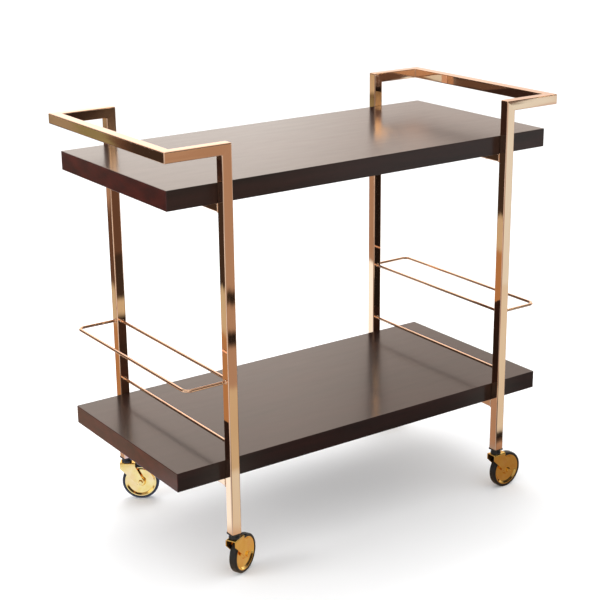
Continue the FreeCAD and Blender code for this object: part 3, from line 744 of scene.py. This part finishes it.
def balls(caster):
    """The ring of bearing balls."""
    low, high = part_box(f"caster_balls_{caster.name}")
    radius = (high.z - low.z) / 2
    count, ring = 9, (high.x - low.x) / 2 - radius
    height = (low.z + high.z) / 2
    bm = bmesh.new()
    for number in range(count):
        angle = 2 * pi * number / count
        place = caster.leg @ Matrix.Translation((ring * cos(angle), ring * sin(angle), height))
        bmesh.ops.create_uvsphere(bm, u_segments=20, v_segments=12, radius=radius, matrix=place)
    caster.add("bearing_balls", bm, ZINC, "frame", "caster_balls", 80)


def stem(caster):
    """The kingpin: a shaft up into the leg, a neck, and a head under the fork."""
    low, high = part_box(f"caster_stem_{caster.name}")
    flange_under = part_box(f"leg_insert_{caster.name}")[0].z
    head, head_height, neck, shaft, point = 6 * MM, 2 * MM, 4 * MM, 5 * MM, 1 * MM
    corners = [(0, low.z), (head, low.z), (head, low.z + head_height), (neck, low.z + head_height),
               (neck, flange_under), (shaft, flange_under), (shaft, high.z - point),
               (shaft - point, high.z), (0, high.z)]
    radii = [0, 1.1 * MM, 0.2 * MM, 0.2 * MM, 0.1 * MM, 0.2 * MM, 0.3 * MM, 0.3 * MM, 0]
    caster.add("kingpin", lathe(corners, radii, 4, caster.leg, 48), ZINC, "frame", "caster_stem")


def leg_insert(caster):
    """The plug in the end of a leg: a thin flange, a square plug and the bore for the kingpin."""
    low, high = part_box(f"leg_insert_{caster.name}")
    flange, thickness, corner = (high.x - low.x) / 2, 2.5 * MM, 2.5 * MM
    plug, bore, edge, bite = 8.4 * MM, 5.02 * MM, 0.5 * MM, 0.15 * MM
    under, over = low.z, low.z + thickness
    levels = [(flange - edge, corner - edge, under), (flange - bite, 2.4 * MM, under + bite),
              (flange, corner, under + edge), (flange, corner, over - edge),
              (flange - bite, 2.4 * MM, over - bite), (flange - edge, corner - edge, over),
              (plug, 1.0 * MM, over), (plug, 1.0 * MM, high.z - 1 * MM),
              (plug - 0.8 * MM, 0.8 * MM, high.z)]
    rings = [scaled(rectangle(half, half, rounding, 5), 1, height) for half, rounding, height in levels]
    rings += [drawn_to(rings[0], bore, height) for height in (high.z, low.z)]
    bm = loft([[caster.leg @ point for point in ring] for ring in rings], closed=True)
    caster.add("leg_plug", bm, PLASTIC, "frame", "leg_insert")


# -------- the whole trolley

LEVELS = ("upper", "lower")
for end in ENDS:
    end_frame(end)
    guard_loop(end)
    for level in LEVELS:
        guard_rail(level, end)
        cross_tube(level, end)
for level in LEVELS:
    shelf(level)
    screws = frame["nodes"][f"{level}_shelf_screws"]
    screws.data.materials.clear()
    screws.data.materials.append(ZINC)
for name in CORNERS:
    caster = Caster(name)
    for make in (fork, wheel, tyre, axle_bolt, sleeve, race, balls, stem, leg_insert):
        make(caster)


# -------- studio

PHOTO_EYE = Vector((-1.5551, -2.2171, 1.3128))  # where the photograph was taken from
FLOOR_REACH = 30

# Painted reflections: what polished metal and lacquer reflect of the studio is painted on stage sheets
# that only reflections show. Patches on the floor sheet:
# (x, y, half width, half depth, turn in degrees, softness, colour, cover).
PAINTED_REFLECTION_PATCHES = [
    (0.0, 0.0, 9.0, 9.0, 0, 0.1, (0.3, 0.24, 0.2), 0.55),
    (0.3, -0.64, 0.85, 0.24, 0, 0.3, (0.04, 0.03, 0.026), 0.9),
    (0.6, -3.07, 1.15, 2.3, 31.5, 0.1, (0.46, 0.33, 0.23), 0.96),
    (-0.42, -2.2, 0.16, 1.6, 3, 0.4, (0.02, 0.012, 0.01), 0.95),
    (-1.7, -2.1, 0.22, 1.3, -40, 0.4, (0.04, 0.024, 0.018), 0.92),
    (-1.15, 0.62, 0.95, 0.62, 0, 0.25, (0.5, 0.33, 0.2), 0.8),
    (-2.2, 3.2, 2.8, 2.25, 0, 0.08, (0.04, 0.024, 0.017), 0.98),
    (1.7, 1.7, 1.2, 1.2, 0, 0.25, (0.2, 0.13, 0.09), 0.9),
    (2.8, 0.00, 1.00, 0.6, 0, 0.3, (0.16, 0.09, 0.06), 0.8),
    (-3.6, -0.3, 0.9, 0.7, 0, 0.3, (0.1, 0.06, 0.04), 0.85),
    (-3.00, -3.9, 0.9, 0.8, 0, 0.2, (0.62, 0.48, 0.3), 0.95),
]
# Colours of the painted reflections in the strips and flags.
WHITE, PALE = (1.10, 1.28, 1.34), (0.82, 0.95, 0.96)
CREAM, STRAW = (0.76, 0.79, 0.70), (0.62, 0.55, 0.38)
ROSE, TAN = (0.44, 0.31, 0.22), (0.36, 0.30, 0.20)
AMBER, OLIVE = (0.46, 0.25, 0.11), (0.28, 0.26, 0.13)
BROWN, DARK, BLACK = (0.13, 0.075, 0.050), (0.05, 0.035, 0.026), (0.014, 0.010, 0.008)
# Painted reflections: strips on the reflection-only floor sheet, painted so that a leg's face shows these bands
# to a camera at PHOTO_EYE: (way the face looks, its plane, its middle across, half width, lowest height shown,
# [(highest height shown, colour) for each band, the lowest one first]).
LEG_STRIPS = [
    ("left", -0.331, -0.2075, 0.045, 0.0, [(0.24, WHITE), (0.48, AMBER), (0.565, STRAW), (0.80, DARK)]),
    ("left", -0.331, 0.2075, 0.045, 0.15, [(0.385, AMBER), (0.465, STRAW), (0.76, BROWN)]),
    ("left", 0.311, -0.2075, 0.045, 0.10, [(0.33, ROSE), (0.52, AMBER), (0.592, STRAW), (0.75, DARK)]),
    ("left", 0.311, 0.2075, 0.040, 0.10, [(0.40, WHITE), (0.735, ROSE), (0.82, STRAW)]),
    ("front", -0.2175, -0.321, 0.045, 0.0, [
        (0.22, CREAM), (0.38, STRAW), (0.458, ROSE), (0.486, BLACK), (0.535, ROSE), (0.560, BLACK),
        (0.83, ROSE)]),
    ("front", 0.1975, 0.321, 0.045, 0.18, [(0.40, BLACK)]),
    ("front", -0.2175, 0.321, 0.045, 0.06, [(0.110, ROSE), (0.133, BLACK), (0.45, CREAM), (0.83, PALE)]),
]
# The same painted reflections for the level arms and bars, with bands from left to right or from front to rear:
# (way, plane, middle height, half height, first place shown, [(last place shown, colour) for each band]).
BAR_STRIPS = [
    ("front", -0.2175, 0.809, 0.016, -0.46, [(-0.33, ROSE)]),
    ("front", 0.1975, 0.811, 0.010, 0.30, [(0.45, BROWN)]),
    ("front", -0.2175, 0.809, 0.016, 0.33, [(0.46, PALE)]),
    ("left", 0.422, 0.809, 0.020, -0.22, [(0.085, BROWN), (0.16, CREAM), (0.22, AMBER)]),
    ("left", -0.442, 0.809, 0.024, -0.24, [(-0.095, DARK), (-0.035, BROWN), (0.11, OLIVE), (0.24, TAN)]),
]
# Upright reflection-only sheets painting the reflections of two rear legs and an arm, and two glowing sheets
# that paint highlights into the upper shelf's reflection: (name, level of that shelf or None, plane, middle,
# half width, distance from the mirrored camera as a multiple of the face's, lowest height shown, painted
# bands).
PAINTED_PANELS = [
    ("painted_reflection_right_leg", None, 0.1975, 0.321, 0.050, 1.27, 0.285, [(0.80, BLACK)]),
    ("painted_reflection_right_arm", None, 0.1975, 0.352, 0.045, 1.27, 0.790, [(0.828, BROWN)]),
    ("painted_reflection_left_leg", None, 0.1975, -0.321, 0.050, 1.33, 0.36, [
        (0.402, BLACK), (0.437, STRAW), (0.53, DARK), (0.76, BROWN)]),
    ("painted_highlight_right", 0.749, 0.1975, 0.324, 0.020, 1.60, 0.764, [(0.85, (6.0, 4.4, 2.3))]),
    ("painted_highlight_left", 0.749, 0.1975, -0.326, 0.012, 1.60, 0.764, [(0.85, (5.5, 4.5, 3.0))]),
]
JOIN = 0.010                              # width over which one painted band of a strip turns into the next
SIDE_SOFTNESS, END_SOFTNESS, STRIP_COVER = 0.25, 0.02, 0.98
FACE_GAP = 20 * MM                        # strips lie at least this far in front of their face
PANEL_WIDTH, PANEL_SOFTNESS = 0.85, 0.15
# Round painted reflections on the floor sheet under the wheels of these casters, by colour.
WHEEL_PAINTED_REFLECTIONS = {"front_left": (0.63, 0.45, 0.31), "front_right": (0.34, 0.21, 0.12),
                "rear_left": (0.95, 1.15, 1.80)}
WHEEL_RADIUS, WHEEL_SOFTNESS, WHEEL_COVER = 0.20, 0.2, 0.97
REFLECTION_FLOOR_LEVEL, REFLECTION_FLOOR_REACH, REFLECTION_FLOOR_GRID = 1.2 * MM, 5.2, 360
# Painted reflections on the reflection-only dome: cards around and above, later ones over earlier: (direction,
# half width, middle height and half height in degrees, softness, brightness). Away from them the dome shows
# the painted room, and straight up the zenith.
PAINTED_DOME_CARDS = [
    (125, 38, 20, 60, 0.3, (0.045, 0.026, 0.020)),
    (52, 56, 18, 34, 0.22, (1.54, 1.44, 1.34)),
    (56, 34, 29, 10, 0.5, (1.46, 1.17, 1.00)),
    (43, 10, 24, 12, 0.6, (0.85, 0.67, 0.57)),
    (-55, 34, 14, 26, 0.3, (0.030, 0.019, 0.015)),
    (172, 9, 28, 30, 0.35, (1.25, 1.20, 1.12)),
    (-118, 7, 30, 26, 0.35, (1.00, 0.95, 0.88)),
    (-129, 8, 9, 8, 0.3, (1.35, 1.20, 0.95)),
]
ZENITH, ROOM = (1.55, 1.47, 1.36), (0.42, 0.350, 0.295)
ZENITH_WIDTH, ZENITH_SOFTNESS = 26, 0.2   # degrees
DOME_RADIUS, HORIZON = 9.0, -0.01


def soft_step(distance, softness):
    """1 inside a distance of 1 and 0 outside, with a smooth edge."""
    share = min(max((1 + softness - distance) / (2 * softness), 0.0), 1.0)
    return share * share * (3 - 2 * share)


def along_strip(painted_reflections, place):
    """The colour at a place along a strip of painted bands laid end to end."""
    colour = Vector(painted_reflections[0][1])
    for (limit, _), (_, following) in zip(painted_reflections, painted_reflections[1:]):
        share = min(max((place - limit) / JOIN + 0.5, 0.0), 1.0)
        colour = colour.lerp(Vector(following), share)
    return colour


def mirrored_eye(way, plane):
    """The photograph's camera, mirrored in the plane of a face that looks to the front or the left."""
    eye = PHOTO_EYE.copy()
    if way == "front":
        eye.y = 2 * plane - eye.y
    else:
        eye.x = 2 * plane - eye.x
    return eye


def on_face(point, way, plane, eye):
    """Where a face shows a point to the photograph's camera: place across and height, or None."""
    axis = 1 if way == "front" else 0
    if point[axis] > plane - FACE_GAP:
        return None
    meet = eye.lerp(point, (plane - eye[axis]) / (point[axis] - eye[axis]))
    return meet[1 - axis], meet.z


STRIPS = [(strip, mirrored_eye(*strip[:2]), strip in LEG_STRIPS) for strip in LEG_STRIPS + BAR_STRIPS]


def strip_layers(point):
    """The strips that lie over one point of the floor, as (colour, cover) pairs."""
    layers = []
    for (way, plane, centre, half, first, painted_reflections), eye, upright in STRIPS:
        seen = on_face(point, way, plane, eye)
        if not seen:
            continue
        across, place = seen if upright else seen[::-1]
        half_length = (painted_reflections[-1][0] - first) / 2
        aside, onward = abs(across - centre) / half, abs(place - first - half_length) / half_length
        if aside < 2 and onward < 2:
            cover = soft_step(aside, SIDE_SOFTNESS) * soft_step(onward, END_SOFTNESS) * STRIP_COVER
            layers.append((along_strip(painted_reflections, place), cover))
    return layers


WHEEL_PLACES = [(Vector(JOINTS[f"roll_{name}"]["pos_m"]).xy, tint) for name, tint in WHEEL_PAINTED_REFLECTIONS.items()]


def floor_shade(point):
    """Colour and cover of the painted reflections over one point of the floor sheet."""
    colour, cover = Vector((0, 0, 0)), 0.0
    layers = []
    for centre_x, centre_y, half_x, half_y, turn, softness, tint, most in PAINTED_REFLECTION_PATCHES:
        angle = radians(turn)
        dx, dy = point.x - centre_x, point.y - centre_y
        across = (dx * cos(angle) + dy * sin(angle)) / half_x
        deep = (-dx * sin(angle) + dy * cos(angle)) / half_y
        layers.append((Vector(tint), soft_step(hypot(across, deep), softness) * most))
    layers += strip_layers(point)
    for place, tint in WHEEL_PLACES:
        inside = soft_step((point.xy - place).length / WHEEL_RADIUS, WHEEL_SOFTNESS)
        layers.append((Vector(tint), inside * WHEEL_COVER))
    for tint, share in layers:
        colour = colour * (1 - share) + tint * share
        cover = cover * (1 - share) + share
    return (*(colour / max(cover, 1e-6)), cover)


def dome_shade(point):
    """The painted reflection of the studio in one direction above the floor."""
    height = degrees(asin(max(min(point.z / point.length, 1.0), -1.0)))
    around = degrees(atan2(point.y, point.x))
    colour = Vector(ROOM)
    for direction, half_width, middle_height, half_height, softness, tint in PAINTED_DOME_CARDS:
        aside = abs((around - direction + 180) % 360 - 180) / half_width
        above = abs(height - middle_height) / half_height
        colour = colour.lerp(Vector(tint), soft_step(max(aside, above), softness))
    overhead = soft_step((90 - height) / ZENITH_WIDTH, ZENITH_SOFTNESS)
    return (*colour.lerp(Vector(ZENITH), overhead), 1.0)


def reflected_only(name, bm, shades):
    """A stage mesh that only reflections show; shades gives each vertex its colour and cover."""
    layer = bm.verts.layers.float_color.new("shade")
    for vert, shade in zip(bm.verts, shades):
        vert[layer] = shade
    material = bpy.data.materials.new(name)
    material.use_nodes = True
    tree = material.node_tree
    tree.nodes.remove(tree.nodes["Principled BSDF"])
    paint = tree.nodes.new("ShaderNodeAttribute")
    paint.attribute_name = "shade"
    glow, clear, mix = (tree.nodes.new("ShaderNode" + kind)
                        for kind in ("Emission", "BsdfTransparent", "MixShader"))
    for output, socket in ((paint.outputs["Color"], glow.inputs["Color"]),
                           (paint.outputs["Alpha"], mix.inputs[0]), (clear.outputs[0], mix.inputs[1]),
                           (glow.outputs[0], mix.inputs[2]),
                           (mix.outputs[0], tree.nodes["Material Output"].inputs["Surface"])):
        tree.links.new(output, socket)
    screen = mesh_object(name, bm, material)
    for rays in ("camera", "diffuse", "shadow", "transmission", "volume_scatter"):
        setattr(screen, f"visible_{rays}", False)


floor_finish = Finish("studio_floor", Specular_IOR_Level=0.0, Roughness=0.9)
floor_tone = floor_finish.spread(floor_finish.noise(1.5))
floor_finish.drive("Base Color", floor_finish.blend(floor_tone, (0.88, 0.88, 0.88, 1), (0.91, 0.91, 0.91, 1)))
floor = bmesh.new()
bmesh.ops.create_grid(floor, x_segments=8, y_segments=8, size=FLOOR_REACH)
mesh_object("studio_floor", floor, floor_finish.material)

# The reflection-only floor sheet that carries the painted reflections: patches, strips and round patches under
# the wheels.
painted_reflections = bmesh.new()
bmesh.ops.create_grid(painted_reflections, x_segments=REFLECTION_FLOOR_GRID, y_segments=REFLECTION_FLOOR_GRID, size=1,
                      matrix=Matrix.Translation((0, 0, REFLECTION_FLOOR_LEVEL)))
for vert in painted_reflections.verts:
    for axis in (0, 1):                   # a finer grid in the middle
        vert.co[axis] = REFLECTION_FLOOR_REACH * (0.45 * vert.co[axis] + 0.55 * vert.co[axis] ** 3)
reflected_only("painted_reflection_floor", painted_reflections, [floor_shade(vert.co) for vert in painted_reflections.verts])
# Upright sheets that only reflections show, painted with reflections; the two glowing ones paint highlights.
for flag_name, mirror, plane, centre, half, reach, low_z, lengths in PAINTED_PANELS:
    eye = mirrored_eye("front", plane)
    if mirror:
        eye.z = 2 * mirror - eye.z
    high_z = lengths[-1][0]
    flag = bmesh.new()
    bmesh.ops.create_grid(flag, x_segments=12, y_segments=80, size=1)
    shades = []
    for vert in flag.verts:
        face = Vector((centre + vert.co.x * half, plane, low_z + (high_z - low_z) * (vert.co.y + 1) / 2))
        cover = soft_step(abs(vert.co.x) / PANEL_WIDTH, PANEL_SOFTNESS)
        shades.append((*along_strip(lengths, face.z), cover))
        vert.co = eye + (face - eye) * reach
    reflected_only(f"studio_{flag_name}", flag, shades)
# The reflection-only dome, painted with the room, the cards and the zenith: painted reflections all around.
dome = bmesh.new()
bmesh.ops.create_uvsphere(dome, u_segments=144, v_segments=72, radius=DOME_RADIUS)
bmesh.ops.delete(dome, geom=[vert for vert in dome.verts if vert.co.z < HORIZON], context="VERTS")
reflected_only("painted_reflection_dome", dome, [dome_shade(vert.co) for vert in dome.verts])

# The sky: one level up to SKY_BEND, from there down to 1 overhead.
SKY_LEVEL, SKY_BEND = 1.5, 0.55
world = bpy.data.worlds.new("studio")
bpy.context.scene.world = world
world.use_nodes = True
sky = world.node_tree
direction = sky.nodes.new("ShaderNodeTexCoord").outputs["Generated"]
split = sky.nodes.new("ShaderNodeSeparateXYZ")
sky.links.new(direction, split.inputs[0])
ramp = sky.nodes.new("ShaderNodeValToRGB")
sky.links.new(split.outputs["Z"], ramp.inputs[0])
ramp.color_ramp.elements.new(SKY_BEND)
for stop in ramp.color_ramp.elements[:2]:
    stop.color = (SKY_LEVEL, SKY_LEVEL, SKY_LEVEL, 1)
sky.links.new(ramp.outputs[0], sky.nodes["Background"].inputs["Color"])


def softbox(name, position, target, width, power):
    """A square soft lamp that reflections don't show."""
    light = bpy.data.lights.new(name, "AREA")
    light.shape, light.size, light.energy = "SQUARE", width, power
    lamp = placed(name, light)
    lamp.location = position
    lamp.rotation_euler = (Vector(target) - Vector(position)).to_track_quat("-Z", "Y").to_euler()
    lamp.visible_camera = lamp.visible_glossy = False


softbox("softbox_top", (0.6, 1.2, 2.6), (0, 0, 0.4), 1.6, 30)
softbox("softbox_left", (-2.6, 0.4, 1.0), (0, 0, 0.4), 1.2, 26)

# The photograph's camera, solved from its perspective.
YAW, PITCH, ROLL = radians(34.594), radians(18.181), radians(-0.599)
camera_data = bpy.data.cameras.new("camera")
camera_data.lens, camera_data.sensor_width = 85.65, 36.0
camera = placed("camera", camera_data)
turned = Matrix.Rotation(-YAW, 4, "Z") @ Matrix.Rotation(pi / 2 - PITCH, 4, "X")
camera.matrix_world = Matrix.Translation(PHOTO_EYE) @ turned @ Matrix.Rotation(ROLL, 4, "Z")
bpy.context.scene.camera = camera
bpy.context.scene.view_settings.view_transform = "Standard"
